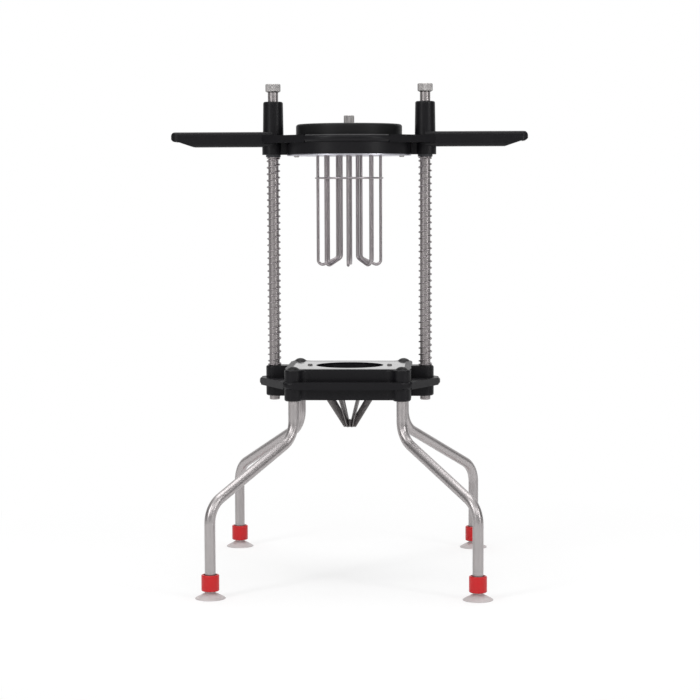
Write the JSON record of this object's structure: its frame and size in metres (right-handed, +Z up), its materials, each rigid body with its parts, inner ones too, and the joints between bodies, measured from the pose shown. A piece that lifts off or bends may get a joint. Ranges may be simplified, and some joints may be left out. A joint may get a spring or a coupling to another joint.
{
  "type": "wedge slicer press",
  "caption": "Free-standing hand press that pushes a round fruit through a cone of radial blades, cutting it into wedges that drop into a pan.",
  "frame": {"origin": "on the table, at the centre of the four feet, under the axis of the blades", "axes": "+Z up, X along the two handles, -Y towards the front of the press"},
  "size_m": [0.481, 0.423, 0.6633],
  "materials": {
    "moulded_black": "fine satin grain",
    "cap_black": "fine satin grain",
    "leg_cap_black": "satin",
    "bright_plate": "finely polished",
    "blade_steel": "ground",
    "fastener_steel": "plain",
    "rod_steel": "ground",
    "knurled_steel": "knurled",
    "leg_steel": "polished along its length",
    "red_plastic": "smooth",
    "cup_rubber": "smooth, slightly translucent",
    "spring_wire": "drawn",
    "finger_wire": "drawn and polished",
    "bushing_grey": "smooth"
  },
  "bodies": {
    "stand": {"base_housing": "moulded_black", "blade_plate": "bright_plate", "blade_ring": "moulded_black", "blade_hub": "blade_steel", "plate_screws": "fastener_steel", "blade_1": "blade_steel", "blade_2": "blade_steel", "blade_3": "blade_steel", "blade_4": "blade_steel", "blade_5": "blade_steel", "blade_6": "blade_steel", "blade_7": "blade_steel", "blade_8": "blade_steel", "guide_rod_left": "rod_steel", "guide_rod_right": "rod_steel", "rod_stop_left": "knurled_steel", "rod_stop_right": "knurled_steel", "rod_grub_screws": "fastener_steel", "leg_front_left": "leg_steel", "leg_front_right": "leg_steel", "leg_rear_left": "leg_steel", "leg_rear_right": "leg_steel", "leg_inserts": "fastener_steel", "leg_screws": "fastener_steel", "leg_cap_front_left": "leg_cap_black", "leg_cap_front_right": "leg_cap_black", "leg_cap_rear_left": "leg_cap_black", "leg_cap_rear_right": "leg_cap_black", "foot_collar_front_left": "red_plastic", "foot_collar_front_right": "red_plastic", "foot_collar_rear_left": "red_plastic", "foot_collar_rear_right": "red_plastic", "suction_cup_front_left": "cup_rubber", "suction_cup_front_right": "cup_rubber", "suction_cup_rear_left": "cup_rubber", "suction_cup_rear_right": "cup_rubber", "spring_left": "spring_wire", "spring_right": "spring_wire"},
    "carriage": {"head_frame": "moulded_black", "top_cap": "cap_black", "clamp_washer": "fastener_steel", "pusher_plate": "bright_plate", "pusher_stud": "fastener_steel", "pusher_screws": "fastener_steel", "finger_1": "finger_wire", "finger_2": "finger_wire", "finger_3": "finger_wire", "finger_4": "finger_wire", "finger_5": "finger_wire", "finger_6": "finger_wire", "finger_7": "finger_wire", "finger_8": "finger_wire", "finger_ring": "finger_wire", "lower_bushing_left": "bushing_grey", "lower_bushing_right": "bushing_grey", "upper_bushing_left": "bushing_grey", "upper_bushing_right": "bushing_grey"},
    "knob": {"clamp_knob": "knurled_steel"}
  },
  "joints": [
    {"name": "carriage_slide", "type": "slide", "parent": "stand", "child": "carriage", "axis": [0, 0, -1], "range_m": [-0.0132, 0.22], "stiffness_N_per_m": 700, "springref_m": -0.01736, "deforming": ["spring_left", "spring_right"]},
    {"name": "clamp_knob_turn", "type": "hinge", "parent": "carriage", "child": "knob", "pos_m": [0, 0, 0.6105], "axis": [0, 0, 1], "range_deg": [0, 360]}
  ]
}
